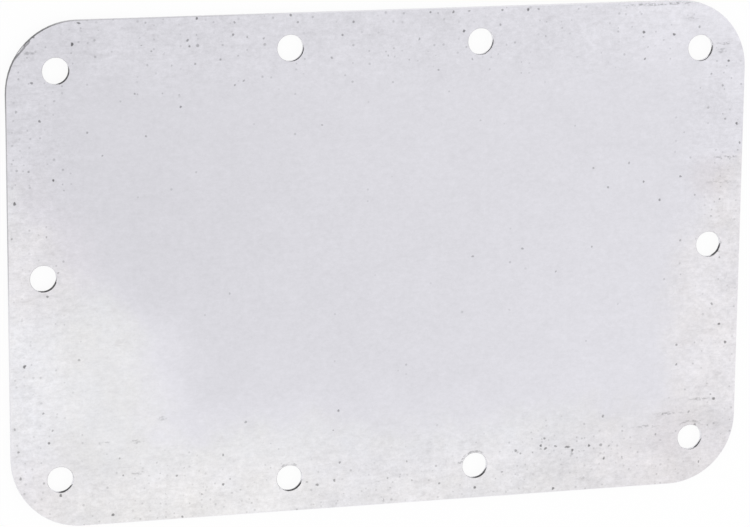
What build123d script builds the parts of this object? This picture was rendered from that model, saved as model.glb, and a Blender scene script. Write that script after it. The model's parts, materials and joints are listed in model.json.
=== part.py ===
from build123d import *
import os

# Rectangular cover plate: one flat blank, punched from zinc-coated steel sheet, with screw holes all
# round its rim. It closes a rectangular opening and is held by a ring of M6 screws.
#
# Millimetres, +Z up. The back face, which goes against the housing, lies on Z = 0, and the front face
# looks along +Z. X runs along the length and Y along the width. The origin is the middle of the back.

# The blank
LENGTH = 210.0
WIDTH = 140.0
THICKNESS = 1.5
CORNER_RADIUS = 19.5

# The screw holes, measured to their centres
HOLE_DIAMETER = 7.3
CORNER_HOLE_INSET = 13.5        # from both of the edges that meet at a corner
LONG_EDGE_HOLE_INSET = 9.5      # from the long edge, for the pair between two corners
LONG_EDGE_HOLE_SPACING = 54.0   # from one hole of that pair to the other
SHORT_EDGE_HOLE_INSET = 9.5     # from the short edge, for the single hole halfway along it

# The sheared edges
ROLLOVER = 0.25                 # round on the front of the outline, where the die drew the sheet in
BURR_BREAK = 0.1                # chamfer on every other sheared edge, where the burr was taken off


def screw_hole_centres():
    """Every hole centre: the four corners, a pair on each long edge, one on each short edge."""
    corners = GridLocations(LENGTH - 2 * CORNER_HOLE_INSET, WIDTH - 2 * CORNER_HOLE_INSET, 2, 2)
    long_edges = GridLocations(LONG_EDGE_HOLE_SPACING, WIDTH - 2 * LONG_EDGE_HOLE_INSET, 2, 2)
    short_edges = GridLocations(LENGTH - 2 * SHORT_EDGE_HOLE_INSET, 0, 2, 1)
    return [*corners, *long_edges, *short_edges]


def punched_blank():
    """The rounded rectangle with its holes, as the press leaves it, with square edges."""
    outline = RectangleRounded(LENGTH, WIDTH, CORNER_RADIUS)
    hole = Circle(HOLE_DIAMETER / 2)
    profile = outline - [centre * hole for centre in screw_hole_centres()]
    return extrude(profile, THICKNESS)


def deburred(plate):
    """Break both rims of every hole, and the outline at the back."""
    front = plate.faces().sort_by(Axis.Z)[-1]
    back = plate.faces().sort_by(Axis.Z)[0]
    front_rims = [edge for rim in front.inner_wires() for edge in rim.edges()]
    return chamfer([*front_rims, *back.edges()], BURR_BREAK)


def rolled_over(plate):
    """Round the outline at the front."""
    front = plate.faces().sort_by(Axis.Z)[-1]
    return fillet(front.outer_wire().edges(), ROLLOVER)


cover_plate = rolled_over(deburred(punched_blank()))
cover_plate.label = "cover_plate"

os.makedirs("parts", exist_ok=True)
export_step(cover_plate, "parts/cover_plate.step")
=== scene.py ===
import json
from math import cos, pi, radians, sin, tan

import bpy
from mathutils import Matrix, Vector


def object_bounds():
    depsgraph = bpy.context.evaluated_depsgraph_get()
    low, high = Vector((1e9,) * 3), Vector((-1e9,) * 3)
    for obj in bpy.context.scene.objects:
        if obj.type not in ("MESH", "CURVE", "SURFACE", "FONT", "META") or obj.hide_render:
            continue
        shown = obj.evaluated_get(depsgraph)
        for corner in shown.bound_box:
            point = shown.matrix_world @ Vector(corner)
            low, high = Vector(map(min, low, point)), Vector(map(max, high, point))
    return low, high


# A flat cover plate of zinc-coated sheet steel, lying on its back. The CAD model gives its whole shape, and
# this script gives it its finish, a camera, light and a floor.
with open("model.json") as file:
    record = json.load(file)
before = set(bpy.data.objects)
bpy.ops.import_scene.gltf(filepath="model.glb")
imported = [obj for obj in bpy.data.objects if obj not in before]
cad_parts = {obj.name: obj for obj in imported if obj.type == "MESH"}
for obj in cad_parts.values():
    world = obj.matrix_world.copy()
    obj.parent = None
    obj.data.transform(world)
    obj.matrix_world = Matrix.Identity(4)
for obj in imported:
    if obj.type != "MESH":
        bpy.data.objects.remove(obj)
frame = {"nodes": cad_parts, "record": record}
cad_low, cad_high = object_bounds()

# Camera: the sensor and the lens are in millimetres, the rest in metres
AIM_X, AIM_Y = -0.00276, -0.00053   # where the line of sight meets the front face
LEAN_UP = radians(12.97)            # off the plate's normal, towards its top edge
LEAN_LEFT = radians(15.66)          # and towards its left edge
ROLL = radians(0.46)
DISTANCE = 0.9514
SENSOR_WIDTH = 36.0
LENS = 165.13

# Light and floor, in metres
WHITE = (1, 1, 1, 1)
SKY = 0.90                          # what the world gives a surface that faces up
KEY_SHARE = 0.10                    # what the key lamp adds to it on the floor
KEY_PLACE = Vector((1.3, -1.1, 0.9))
KEY_SIZE = 1.1
FLOOR_REACH = 20.0                  # from the middle of the floor to each side
FLOOR_DROP = 0.0001                 # keeps it just clear of the sheet, whose back would flicker in it
FLOOR_PAPER = (0.95, 0.95, 0.95, 1)
FLOOR_GLOW = 0.92                   # how much of the floor's white is its own; the rest takes the shadow

# The plate, in millimetres, in which its material and the tables of marks measure everything
MM = 1000.0
HALF_LENGTH, HALF_WIDTH, THICKNESS = MM * cad_high
CORNER_RADIUS = 19.5
HOLES = {mount["name"]: (MM * mount["pos_m"][0], MM * mount["pos_m"][1])
         for mount in frame["record"]["mounts"] if mount["kind"] == "bore"}
HOLE_REACH = 5.0                    # from a hole's centre to well outside its rim
RIM_START, RIM_FULL = 26.0, 4.0     # how far in from the edge the broad rim begins and is complete
FILM_LEFT, FILM_RIGHT, FILM_BOTTOM = -66.5, 83.0, -46.0     # how far the film reaches on the front

# Colour: tone, tint and darkness are counted in display steps, of which black to white has 255
MIDDLE_TONE = 0.7244                # the face's middle tone, as a linear colour
TONE_STEP = 0.00796                 # what one step of tone adds to that
TINT_STEP = 0.0101                  # the share of the tone that one step of red or blue adds
DARKEST_FACE = 0.06
DARKEST_WALL = 0.03
WALL_TINT = (1.0, 0.99, 1.03)
FULL_DIRT = 60.0                    # the darkness at which dirt hides the metal

# Where a mark's soft edge begins and ends, as shares of its radius or reach
SPECK_EDGE = (1.1, 0.45)
OVAL_EDGE = (1.25, 0.55)
SCATTER_EDGE = (1.2, 0.5)

# The specks on the front that stand out: radius, how dark and where. All others are random.
SPECKS = [
    (0.46, 62, [
        (-92.5, 27), (-103, 21), (-53, 69.5), (22, 63.5), (40.5, 69), (74.5, 61.5), (83.5, 60.5),
        (100, 52.5), (103, 34.5), (99.5, -23.5), (101.5, -29), (-94.5, -46), (-91.5, -61), (-77, -67.5),
        (-46, -61), (27, -67), (46.5, -56), (50.5, -69), (56, -58), (61, -57), (65.5, -61)]),
    (0.42, 46, [
        (-98, 53.5), (-96, 43), (-57.5, 45.5), (-55.5, 63.5), (-55, 62), (-43, 64.5), (-27, 69.5), (19, 69),
        (33, 69), (75, 54), (75.5, 19), (80.5, 13.5), (86.5, 20), (104, 29), (97, -17.5), (-94.5, -5),
        (-96, -37.5), (-103, -48), (-102.5, -55.5), (-74, -56.5), (-59, -57.5), (-57.5, -69.5),
        (-46, -52.5), (-13, -42), (-12.5, -57), (-14, -62), (-19, -63), (16.5, -65), (39, -57),
        (47.5, -54), (51, -56.5), (65, -48.5), (94.5, -64)]),
    (0.37, 33, [
        (-83, 39.5), (-79, 33), (-70, 49.5), (-67, 38), (-65.5, 61), (-53.5, 57), (-46.5, 58), (-42.5, 51),
        (-40, 52), (-42.5, 68), (-39, 64), (-34.5, 63.5), (-25, 67.5), (-18, 39), (-15.5, 57.5),
        (0.5, 57.5), (15, 53), (23.5, 69), (32.5, 65), (43.5, 69), (91, 62.5), (95, 49), (98.5, 45.5),
        (99.5, 36), (71, 24.5), (60.5, 23.5), (65, 18), (91, 14.5), (98.5, 13), (87, 1.5), (60.5, 1),
        (50, -5.5), (25.5, 0), (40, 1.5), (99, -4), (-104, 11.5), (-94.5, 11.5), (-91.5, 1.5), (-86, -23),
        (-104, -41.5), (-93.5, -42.5), (-75, -51.5), (-52, -63.5), (-44, -59.5), (-39.5, -43.5), (-22, -62),
        (-14.5, -47.5), (1.5, -62.5), (7, -58), (8.5, -63.5), (35, -63), (44, -58), (67, -57.5), (71, -61),
        (81, -55), (83, -49), (91, -49), (97.5, -44)]),
]
# Oval blots: where, how far they reach along x and along y, and how dark
BLOTS = [
    ((-87, 63.5), 0.38, 0.65, 66), ((-85, 69.2), 0.6, 0.32, 52), ((-99.5, 64.5), 0.4, 0.5, 50),
    ((-97.5, 66), 0.5, 0.4, 50), ((-96, 67.5), 0.6, 0.4, 40), ((-101, -24), 0.5, 0.5, 72),
    ((22.5, -59.5), 0.6, 0.35, 24), ((48, -57), 0.5, 0.42, 60), ((54.5, -57), 0.9, 0.32, 55),
    ((64.5, -57), 0.6, 0.32, 42), ((98.5, -45.5), 0.5, 0.45, 60),
]
# Crumbly smears, most of them long: the same
SMEARS = [
    ((-79.5, -47), 2.0, 0.6, 22), ((-70, -47), 2.0, 0.6, 24), ((-70, -56), 2.0, 0.6, 24),
    ((-63, -41), 1.6, 0.6, 20), ((84.5, -49), 4.5, 0.45, 30), ((78, -52.5), 4.0, 0.45, 26),
    ((94, -45.3), 3.0, 0.45, 32), ((79, 69.2), 11.0, 0.45, 38), ((98.5, 57.5), 2.4, 0.45, 28),
    ((98, 55.5), 1.5, 0.9, 24), ((89, 65), 2.8, 0.4, 20), ((100, 25), 4.2, 0.4, 30),
    ((98.5, 18), 4.8, 0.4, 14), ((-98.5, 61.5), 1.6, 0.5, 28),
]
# Arcs rubbed round the rims of holes: radius, from and to which bearing in degrees, and how dark
ARCS = {
    "bottom_edge_left_hole": (4.1, 45, 140, 30),
    "bottom_edge_right_hole": (4.1, 55, 175, 40),
    "bottom_right_corner_hole": (4.9, 40, 130, 24),
}
# The painted shade down each hole's wall, a dark band: the bearing of its middle from the hole's centre and
# how far it reaches to either side of that, in degrees, and how deep it goes
HOLE_SHADE_BANDS = {
    "top_left_corner_hole": (-35, 45, 1.6),
    "top_edge_left_hole": (-40, 45, 0.7),
    "top_edge_right_hole": (-30, 30, 1.0),
    "top_right_corner_hole": (-22, 20, 1.1),
    "left_edge_hole": (-60, 45, 1.6),
    "right_edge_hole": (-38, 30, 1.3),
    "bottom_left_corner_hole": (-62, 25, 1.6),
    "bottom_edge_left_hole": (-65, 45, 1.05),
    "bottom_edge_right_hole": (-60, 36, 1.1),
    "bottom_right_corner_hole": (-40, 18, 0.95),
}


class Graph:
    """Builds a node tree out of calls, and is called g. An input may be a socket, a number or a vector."""

    def __init__(self, tree):
        self.tree = tree
        tree.nodes.clear()

    def add(self, kind, inputs=(), output=0, **settings):
        node = self.tree.nodes.new(kind)
        for key, value in settings.items():
            setattr(node, key, value)
        for key, value in dict(inputs).items():
            self.feed(node.inputs[key], value)
        return node.outputs[output]

    def feed(self, socket, value):
        if isinstance(value, bpy.types.NodeSocket):
            self.tree.links.new(value, socket)
        else:
            socket.default_value = value

    def end(self, kind, shader):
        self.feed(self.tree.nodes.new(kind).inputs["Surface"], shader)

    def math(self, operation, *values, clamp=False):
        return self.add("ShaderNodeMath", enumerate(values), operation=operation, use_clamp=clamp)

    def fold(self, operation, values):
        total = values[0]
        for value in values[1:]:
            total = self.math(operation, total, value)
        return total

    def plus(self, *values):
        return self.fold("ADD", values)

    def minus(self, value, less):
        return self.math("SUBTRACT", value, less)

    def times(self, *values):
        return self.fold("MULTIPLY", values)

    def largest(self, *values):
        return self.fold("MAXIMUM", values)

    def smallest(self, *values):
        return self.fold("MINIMUM", values)

    def absolute(self, value):
        return self.math("ABSOLUTE", value)

    def vector(self, operation, *values, output="Vector"):
        return self.add("ShaderNodeVectorMath", enumerate(values), output, operation=operation)

    def scaled(self, vector, factor):
        return self.add("ShaderNodeVectorMath", {0: vector, "Scale": factor}, operation="SCALE")

    def length(self, vector):
        return self.vector("LENGTH", vector, output="Value")

    def along(self, vector, direction):
        return self.vector("DOT_PRODUCT", vector, direction, output="Value")

    def parts(self, vector):
        return self.add("ShaderNodeSeparateXYZ", {0: vector}).node.outputs

    def step(self, low, high, value, to_low=0.0, to_high=1.0):
        """Goes smoothly from to_low at low to to_high at high, whichever of low and high is larger."""
        if low > high:
            low, high, to_low, to_high = high, low, to_high, to_low
        return self.add("ShaderNodeMapRange", enumerate((value, low, high, to_low, to_high)),
                        interpolation_type="SMOOTHSTEP")

    def between(self, factor, a, b):
        return self.add("ShaderNodeMix", {"Factor": factor, "A": a, "B": b})

    def between_colours(self, factor, a, b):
        # The sockets for vectors go by number, because those for numbers have the same names
        return self.add("ShaderNodeMix", {"Factor": factor, 4: a, 5: b}, 1, data_type="VECTOR")

    def noise(self, place, size, detail=2.0, rough=0.5, shift=0.0):
        """Cloudy noise from about -1 to 1, whose largest lumps are about size across."""
        moved = self.vector("ADD", place, (shift, 0.7 * shift, 0))
        value = self.add("ShaderNodeTexNoise", {"Vector": moved, "Scale": 1 / size, "Detail": detail,
                                                "Roughness": rough})
        return self.add("ShaderNodeMapRange", enumerate((value, 0.2, 0.8, -1.0, 1.0)), clamp=False)

    def seen(self):
        """1 for what the camera sees, also in gloss or through glass, and 0 for light on matt surfaces."""
        path = self.add("ShaderNodeLightPath").node.outputs
        return self.largest(path["Is Camera Ray"], path["Is Glossy Ray"], path["Is Transmission Ray"])


class Sheet(Graph):
    """A graph for the plate's material, which knows where on the plate a point is, in millimetres."""

    def __init__(self, tree):
        super().__init__(tree)
        self.place = self.scaled(self.add("ShaderNodeTexCoord", output="Object"), MM)
        self.flat = self.vector("MULTIPLY", self.place, (1, 1, 0))
        self.x, self.y, self.z = self.parts(self.place)
        self.normal = self.add("ShaderNodeNewGeometry", output="True Normal")
        # The sheared walls, and a broad rim all round both faces
        self.wall = self.step(0.97, 0.75, self.absolute(self.parts(self.normal)[2]))
        to_end = self.minus(HALF_LENGTH, self.absolute(self.x))
        to_side = self.minus(HALF_WIDTH, self.absolute(self.y))
        self.rim = self.step(RIM_START, RIM_FULL, self.smallest(to_end, to_side))
        # The back, which nothing shows, is plainer: its film is whole and it has none of the placed marks
        self.front = self.step(0.2, 0.6, self.z)
        self.back = self.minus(1.0, self.front)

    def ramp(self, across, up, level):
        """Grows by across for each millimetre along x and by up for each along y."""
        return self.plus(self.times(self.x, across), self.times(self.y, up), level)

    def drawn_out(self, place, share):
        """A place for patterns drawn out along the rolling direction, x, which counts for a share."""
        return self.vector("MULTIPLY", place, (share, 1.0, 1.0))

    def away(self, place, at):
        return self.vector("DISTANCE", place, (*at, 0.0), output="Value")

    def nearest(self, place, spots):
        return self.smallest(*[self.away(place, at) for at in spots])

    def off_centre(self, place, at, reach_x, reach_y):
        """How far off an oval's centre a place is, where 1 is on the oval itself."""
        offset = self.vector("SUBTRACT", place, (*at, 0.0))
        return self.length(self.vector("DIVIDE", offset, (reach_x, reach_y, 1.0)))

    def spot(self, at, far, near, value=1.0, weights=(1.0, 1.0)):
        """Goes smoothly from 0, far from a point, to the value near it. Weights are those of x and y."""
        distance = self.off_centre(self.flat, at, 1 / weights[0], 1 / weights[1])
        return self.step(far, near, distance, 0.0, value)

    def oval(self, place, at, reach_x, reach_y, depth):
        return self.step(*OVAL_EDGE, self.off_centre(place, at, reach_x, reach_y), 0.0, depth)

    def arc(self, at, radius, start, end, depth):
        dx, dy, _ = self.parts(self.vector("SUBTRACT", self.flat, (*at, 0.0)))
        off_line = self.absolute(self.minus(self.away(self.flat, at), radius))
        swing = self.absolute(self.minus(self.math("ARCTAN2", dy, dx), radians(start + end) / 2))
        half = radians(end - start) / 2
        return self.times(self.step(0.5, 0.15, off_line), self.step(half + 0.1, half - 0.1, swing), depth)

    def scatter(self, place, spacing, share, low, high, depth, shift):
        """Round specks of a radius from low to high, in that share of cells about spacing across."""
        moved = self.vector("ADD", place, (shift, -shift, 0))
        cell = self.add("ShaderNodeTexVoronoi", {"Vector": moved, "Scale": 1 / spacing},
                        voronoi_dimensions="2D").node.outputs
        draw = self.add("ShaderNodeSeparateColor", {0: cell["Color"]}).node.outputs
        radius = self.between(self.math("POWER", draw[1], 2.0), low, high)
        away = self.math("DIVIDE", self.times(cell["Distance"], spacing), radius)
        return self.times(self.math("LESS_THAN", draw[0], share), self.step(*SCATTER_EDGE, away),
                          self.between(draw[2], 0.35, 1.0), depth)

    def outline_depth(self):
        """How far a point lies inside the plate's outline."""
        straights_end = (HALF_LENGTH - CORNER_RADIUS, HALF_WIDTH - CORNER_RADIUS, 0.0)
        past = self.vector("SUBTRACT", self.vector("ABSOLUTE", self.place), straights_end)
        across, up, _ = self.parts(past)
        corner = self.vector("MULTIPLY", self.vector("MAXIMUM", past, (0, 0, 0)), (1, 1, 0))
        straight = self.smallest(self.largest(across, up), 0.0)
        return self.minus(CORNER_RADIUS, self.plus(straight, self.length(corner)))

    def facing(self, bearing, spread):
        """A hole's wall on that bearing from its centre, give or take the spread, both in degrees."""
        inward = (-cos(radians(bearing)), -sin(radians(bearing)), 0.0)
        return self.step(cos(radians(spread + 18.0)), cos(radians(spread - 12.0)),
                         self.along(self.normal, inward))


def make_camera():
    data = bpy.data.cameras.new("camera")
    data.sensor_fit = "HORIZONTAL"
    data.sensor_width = SENSOR_WIDTH
    data.lens = LENS
    camera = bpy.data.objects.new("camera", data)
    back = Vector((-tan(LEAN_LEFT), tan(LEAN_UP), 1)).normalized()
    right = Vector((0, 1, 0)).cross(back).normalized()
    upright = Matrix((right, back.cross(right), back)).transposed().to_4x4()
    place = Vector((AIM_X, AIM_Y, cad_high.z)) + DISTANCE * back
    camera.matrix_world = Matrix.Translation(place) @ upright @ Matrix.Rotation(ROLL, 4, "Z")
    bpy.context.collection.objects.link(camera)
    bpy.context.scene.camera = camera


def make_world():
    world = bpy.data.worlds.new("studio")
    world.use_nodes = True
    g = Graph(world.node_tree)
    strength = g.between(g.seen(), SKY, 1.0)
    g.end("ShaderNodeOutputWorld", g.add("ShaderNodeBackground", {"Color": WHITE, "Strength": strength}))
    bpy.context.scene.world = world


def make_key():
    data = bpy.data.lights.new("key", "AREA")
    data.shape = "DISK"
    data.size = KEY_SIZE
    # The power at which the lamp adds its share of full white to a white floor under the plate
    distance = KEY_PLACE.length
    slope = KEY_PLACE.z / distance
    data.energy = KEY_SHARE * pi * distance ** 2 * pi / slope
    key = bpy.data.objects.new("key", data)
    key.location = KEY_PLACE
    key.rotation_euler = (-KEY_PLACE).to_track_quat("-Z", "Y").to_euler()
    key.visible_camera = False
    key.visible_glossy = False          # no glare off the sheet in low views
    bpy.context.collection.objects.link(key)


def make_floor():
    corners = [(-1, -1), (1, -1), (1, 1), (-1, 1)]
    points = [(FLOOR_REACH * x, FLOOR_REACH * y, -FLOOR_DROP) for x, y in corners]
    mesh = bpy.data.meshes.new("floor")
    mesh.from_pydata(points, [], [(0, 1, 2, 3)])
    floor = bpy.data.objects.new("floor", mesh)
    bpy.context.collection.objects.link(floor)
    material = bpy.data.materials.new("floor")
    material.use_nodes = True
    g = Graph(material.node_tree)
    glow = g.add("ShaderNodeEmission", {"Color": WHITE, "Strength": 1.0})
    paper = g.add("ShaderNodeBsdfDiffuse", {"Color": FLOOR_PAPER})
    above = g.add("ShaderNodeMixShader", {0: g.times(g.seen(), FLOOR_GLOW), 1: paper, 2: glow})
    # From below the floor is clear, so that the sheet's back can be seen
    from_below = g.add("ShaderNodeNewGeometry", output="Backfacing")
    clear = g.add("ShaderNodeBsdfTransparent")
    g.end("ShaderNodeOutputMaterial", g.add("ShaderNodeMixShader", {0: from_below, 1: above, 2: clear}))
    mesh.materials.append(material)


def film_and_wear(g):
    """Where the passivation film is whole: all but a border along the left, bottom and right of the front.
    And how worn the zinc is, which fades out a little way under the film."""
    dent = g.step(25.0, 5.0, g.absolute(g.plus(g.y, 20.0)), 0.0, -6.0)
    left_slant = g.plus(g.ramp(0.8, 0.6, 70.0), dent)
    right_slant = g.ramp(-0.855, 0.52, 75.0)
    left = g.largest(left_slant, g.minus(g.x, FILM_LEFT))
    right = g.largest(right_slant, g.minus(FILM_RIGHT, g.x))
    bottom = g.minus(g.y, FILM_BOTTOM)
    inside = g.math("SMOOTH_MIN", g.math("SMOOTH_MIN", left, bottom, 12.0), right, 8.0)
    ragged = g.plus(inside, g.times(g.noise(g.place, 16.0, detail=3.0, rough=0.6, shift=11.0), 7.0))
    film = g.largest(g.step(-6.0, 6.0, ragged), g.back)
    more_at_left = g.times(g.step(-42.0, -62.0, g.x), g.step(-8.0, -20.0, g.y), -7.0)
    worn = g.minus(1.0, g.step(-14.0, 14.0, g.plus(ragged, more_at_left)))
    return film, g.times(worn, g.front)


def broad_tone(g, worn):
    """The tone that changes slowly across the sheet: the zinc's own patches, and a painted gradient of
    light.
    """
    # Painted light: this slope makes the face lighter towards the bottom and the right
    slope = g.plus(g.ramp(0.031, -0.033, 0.9), g.times(g.x, g.y, -0.00014))
    top = g.step(15.0, 60.0, g.y, 0.0, 1.2)
    top_right = g.spot((95.0, 70.0), 55.0, 5.0, 7.0, weights=(1.0, 1.7))
    top_left = g.spot((-100.0, 60.0), 45.0, 5.0, -1.8)
    middle_left = g.spot((-58.0, 15.0), 60.0, 10.0, -2.0)
    middle = g.spot((8.0, -20.0), 48.0, 10.0, -1.4)
    bottom_left = g.spot((-88.0, -58.0), 15.0, 3.0, -3.3, weights=(0.6, 1.0))
    # Worn zinc is brighter, and most of all to the left
    right_of_left = g.step(-30.0, -8.0, g.x, 0.0, -5.5)
    right_of_middle = g.step(28.0, 58.0, g.x, 0.0, -6.0)
    right_end = g.times(g.step(76.0, 92.0, g.x), g.step(-38.0, -56.0, g.y, 3.5, -4.0))
    left_end = g.spot((-102.0, -30.0), 20.0, 8.0, 4.0)
    brighter = g.times(worn, g.plus(12.0, right_of_left, right_of_middle, right_end, left_end))
    return g.plus(slope, top, top_right, top_left, middle_left, middle, bottom_left, brighter)


def mottling(g, bare):
    """Clouds and grain, drawn out along the rolling direction, and the tone they give, which varies more
    near the edges and where the film is gone."""
    rolled = g.drawn_out(g.place, 0.8)
    clouds = g.noise(rolled, 9.0, detail=4.0, rough=0.85, shift=3.0)
    grain = g.noise(rolled, 1.5, detail=3.0, rough=0.9, shift=29.0)
    cloudy = g.plus(0.65, g.times(g.rim, 0.85), g.times(bare, 0.5))
    grainy = g.plus(0.75, g.times(g.rim, 0.6), g.times(bare, 0.3))
    return clouds, grain, g.plus(g.times(clouds, cloudy, 5.4), g.times(grain, grainy, 9.0))


def rubbed_dirt(g, bare):
    """Smudges and streaks where the sheet has been handled: near its edges and where the film is gone."""
    towards_ends = g.step(25.0, 75.0, g.absolute(g.x), 0.5, 1.0)
    handled = g.largest(g.times(g.rim, towards_ends), g.times(bare, 0.7))
    smudges = g.noise(g.drawn_out(g.flat, 0.45), 3.2, detail=3.0, rough=0.65, shift=57.0)
    streaks = g.noise(g.drawn_out(g.flat, 0.09), 0.7, rough=0.6, shift=33.0)
    return g.times(g.step(0.18, 0.75, smudges), handled), g.times(g.step(0.15, 0.6, streaks), handled)


def pink_patches(g):
    """Small ones that darken too, and larger ones that only tint."""
    dark = g.largest(g.spot((95.5, 19.5), 9.0, 2.0), g.spot((-98.0, 25.0), 9.0, 2.0, 0.4),
                     g.spot((86.0, -54.0), 10.0, 3.0, 0.6))
    bottom_left = g.times(g.step(-80.0, -98.0, g.x), g.step(-40.0, -56.0, g.y, 0.0, 0.7))
    light = g.largest(g.spot((-96.0, 4.0), 22.0, 8.0), bottom_left)
    return g.times(dark, g.front), g.times(light, g.front)


def tint(g, film, smudges, dark_pink, light_pink):
    """Red and blue over green: even and violet where the film is whole, warmer and patchy elsewhere."""
    patches = g.noise(g.place, 15.0, detail=4.0, rough=0.75, shift=47.0)
    bare_red = g.plus(0.5, g.step(40.0, 90.0, g.x, 0.0, 1.6), g.step(-50.0, -62.0, g.y, 0.0, 0.8),
                      g.times(patches, -0.8))
    bare_blue = g.plus(1.9, g.step(-35.0, -10.0, g.x, 0.0, 1.3), g.step(-85.0, -100.0, g.x, 0.0, 1.3),
                       g.step(-56.0, -66.0, g.y, 0.0, -1.0), g.times(patches, 1.8))
    red = g.plus(g.between(film, bare_red, 1.0), g.times(dark_pink, 1.8), g.times(light_pink, 1.3),
                 g.times(smudges, 0.6))
    blue = g.plus(g.between(film, bare_blue, 6.0), g.times(dark_pink, -1.0))
    return red, blue


def random_specks(g):
    """Fine and bold specks, thick along the edges and in a cluster near the bottom right."""
    flocks = g.step(-0.6, 0.8, g.noise(g.place, 13.0, rough=0.6, shift=71.0), 0.15, 1.9)
    cluster = g.step(1.3, 0.4, g.off_centre(g.flat, (56.0, -57.0), 16.0, 4.5), 1.0, 3.5)
    left_rim = g.between(g.step(-70.0, -95.0, g.x), 1.0, g.step(-10.0, 50.0, g.y, 0.55, 1.5))
    towards_edges = g.plus(g.times(g.rim, left_rim, 0.14), 0.006)
    towards_bottom = g.step(-40.0, -58.0, g.y, 0.85, 1.35)
    share = g.times(cluster, towards_edges, flocks, towards_bottom)
    # The back has others than the front
    place = g.vector("ADD", g.flat, g.scaled((37.0, 0.0, 0.0), g.back))
    fine = g.scatter(place, 2.3, g.times(share, 2.6), 0.27, 0.42, depth=20.0, shift=5.0)
    bold = g.scatter(place, 3.1, g.times(share, 0.27), 0.32, 0.5, depth=44.0, shift=90.0)
    return g.largest(fine, bold)


def placed_marks(g):
    """Specks, blots, smears and rubbed arcs. A slight warp keeps all but the arcs from being too round."""
    warp = 0.9
    swirl = g.scaled(g.add("ShaderNodeTexNoise", {"Vector": g.flat, "Scale": 0.9}, "Color"), warp)
    warped = g.vector("SUBTRACT", g.vector("ADD", g.flat, swirl), (warp / 2, warp / 2, 0.0))
    warped = g.vector("MULTIPLY", warped, (1, 1, 0))
    crumbs = g.noise(g.drawn_out(g.flat, 0.6), 0.9, rough=0.7, shift=13.0)
    begins, ends = SPECK_EDGE
    specks = [g.step(begins * radius, ends * radius, g.nearest(warped, places), 0.0, depth)
              for radius, depth, places in SPECKS]
    blots = [g.oval(warped, *blot) for blot in BLOTS]
    smears = [g.oval(warped, *smear) for smear in SMEARS]
    arcs = [g.arc(HOLES[hole], *arc) for hole, arc in ARCS.items()]
    return g.largest(*specks, *blots, g.times(g.largest(*smears, *arcs), g.step(-0.35, 0.45, crumbs)))


def corner_strayed_line(g):
    """The second dark line that strays a little inside the outline for a stretch of the top left corner.
    And how far the wall there is reversed, bright above and dark below."""
    inset = g.outline_depth()
    stretch = g.ramp(cos(pi / 4), cos(pi / 4), 26.5)
    strayed = g.times(g.step(-5.5, 0.5, stretch), g.step(3.4, 2.2, stretch), g.step(3.0, 2.0, inset),
                      g.step(0.0, 1.0, g.y))
    unsteady = g.noise(g.flat, 1.2, rough=0.7, shift=83.0)
    wander = g.times(unsteady, g.step(-2.0, 1.0, stretch), 0.16)
    off_line = g.absolute(g.minus(g.plus(inset, wander), g.times(strayed, 0.42)))
    line = g.times(g.step(0.34, 0.08, off_line), g.step(0.1, 0.5, strayed), 46.0)
    reversed_wall = g.step(0.2, 0.8, g.times(strayed, g.step(1.6, 0.2, stretch)))
    return line, reversed_wall


def painted_shade_in_holes(g):
    """How deep the painted shade, a dark band, goes down the holes' walls, and where those walls are."""
    around = {hole: g.spot(at, HOLE_REACH + 1.0, HOLE_REACH) for hole, at in HOLES.items()}
    bands = [g.times(around[hole], g.facing(bearing, spread), depth)
             for hole, (bearing, spread, depth) in HOLE_SHADE_BANDS.items()]
    # Painted shade in every hole too, 0.4 deep on the walls near a bearing of -75 degrees
    shade_in_all_holes = g.times(g.facing(-75.0, 35.0), 0.4)
    return g.largest(shade_in_all_holes, *bands), g.largest(*around.values())


def painted_shade_outside(g, reversed_wall):
    """How deep the painted shade, a dark band, goes down the outer wall and how faded it is: it is deepest
    and darkest at the top left corner."""
    from_corner = g.away(g.flat, (-99.0, 64.0))
    deep = g.between(reversed_wall, g.step(8.0, 30.0, from_corner, 1.6, 0.8), 0.1)
    left = g.plus(g.step(5.0, 30.0, from_corner, 0.0, 0.45), g.step(50.0, 85.0, from_corner, 0.0, 0.55))
    top = g.plus(g.step(3.0, 18.0, from_corner, 0.0, 0.75), g.step(40.0, 90.0, from_corner, 0.0, 0.25))
    return deep, g.between(g.step(0.6, 0.9, g.parts(g.normal)[1]), left, top)


def wall_colour(g, reversed_wall, scores):
    """A band under the front, painted dark as shade and as the reflection of a dark surround, and a pale
    torn part under that.
    """
    shade_depth_in_hole, in_hole = painted_shade_in_holes(g)
    shade_depth_outside, faded = painted_shade_outside(g, reversed_wall)
    ragged = g.times(g.noise(g.place, 2.5, shift=17.0), 0.12)
    deep = g.plus(g.between(in_hole, shade_depth_outside, shade_depth_in_hole), ragged)
    under_band = g.step(0.08, -0.08, g.plus(g.z, deep, -THICKNESS))

    # The band's colour is painted shade: 0.045 in the holes, and on the outer wall a noisy dark grey that
    # fades to 0.86
    outer_shade_colour = g.plus(0.19, g.times(g.noise(g.place, 6.0, shift=61.0), 0.1))
    shaded_band_colour = g.between(in_hole, g.between(faded, outer_shade_colour, 0.86), 0.045)
    # Painted shade: the torn part is greyer on walls that face to the bottom and right
    shaded_to_bottom_right = g.step(0.0, -0.4, g.along(g.normal, (-0.78, 0.63, 0.0)))
    torn = g.between(shaded_to_bottom_right, 0.86, 0.58)
    # Darker along the foot of the wall where the band is reversed, at the top left corner
    darker_foot = g.times(g.step(1.0, 0.8, g.z), reversed_wall, -0.62)
    wall = g.plus(g.between(under_band, shaded_band_colour, torn), darker_foot, g.times(scores, 0.05))
    return g.scaled(WALL_TINT, g.largest(wall, DARKEST_WALL))


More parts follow.
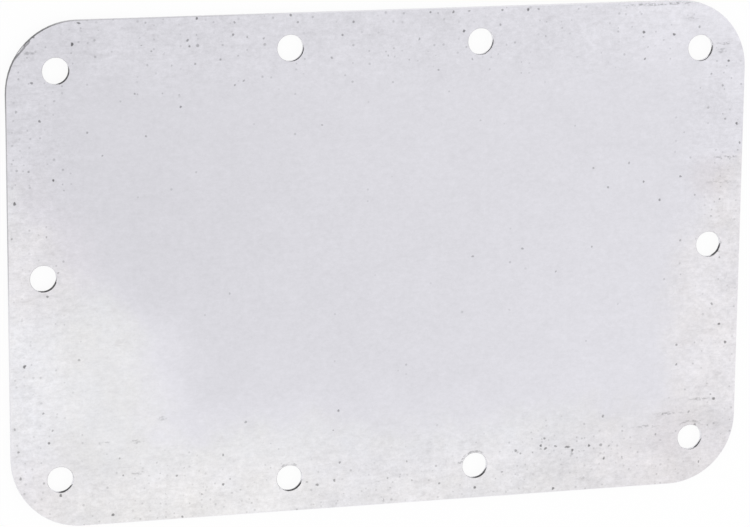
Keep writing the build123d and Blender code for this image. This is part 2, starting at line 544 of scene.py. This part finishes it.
def face_colour(g, tone, red, blue):
    light = g.largest(g.plus(MIDDLE_TONE, g.times(tone, TONE_STEP)), DARKEST_FACE)
    tinted = g.add("ShaderNodeCombineXYZ", {0: g.plus(1.0, g.times(red, TINT_STEP)), 1: 1.0,
                                            2: g.plus(1.0, g.times(blue, TINT_STEP))})
    return g.scaled(tinted, light)


def make_steel():
    material = bpy.data.materials.new("zinc_coated_steel")
    material.use_nodes = True
    g = Sheet(material.node_tree)
    film, worn = film_and_wear(g)
    bare = g.minus(1.0, film)
    clouds, grain, mottled = mottling(g, bare)
    smudges, streaks = rubbed_dirt(g, bare)
    dark_pink, light_pink = pink_patches(g)
    line, reversed_wall = corner_strayed_line(g)
    dark = g.largest(random_specks(g), g.times(g.largest(placed_marks(g), line), g.front))
    dirt = g.math("MULTIPLY", dark, 1 / FULL_DIRT, clamp=True)
    # Fine scores down the sheared walls
    scores = g.noise(g.vector("MULTIPLY", g.place, (1.0, 1.0, 0.12)), 0.5, rough=0.7, shift=7.0)

    soiled = g.plus(g.times(smudges, 9.0), g.times(streaks, 3.0), g.times(dark_pink, 4.5), dark)
    tone = g.minus(g.plus(broad_tone(g, worn), mottled), soiled)
    red, blue = tint(g, film, smudges, dark_pink, light_pink)
    face = face_colour(g, tone, red, blue)
    wall = wall_colour(g, reversed_wall, scores)
    roughness = g.plus(0.5, g.times(grain, 0.05), g.times(clouds, 0.03), g.times(dirt, 0.25),
                       g.times(g.wall, -0.05))
    height = g.plus(g.times(grain, 0.006), g.times(g.wall, scores, 0.02))

    shader = g.add("ShaderNodeBsdfPrincipled", {
        "Base Color": g.between_colours(g.wall, face, wall),
        "Metallic": g.step(0.0, 1.0, dirt, 0.92, 0.4),
        "Roughness": roughness,
        "Normal": g.add("ShaderNodeBump", {"Height": height, "Distance": 0.001}),
    })
    g.end("ShaderNodeOutputMaterial", shader)
    return material


make_camera()
make_world()
make_key()
make_floor()
plate = frame["nodes"]["cover_plate"]
plate.material_slots[0].material = make_steel()

bpy.context.scene.view_settings.view_transform = "Standard"
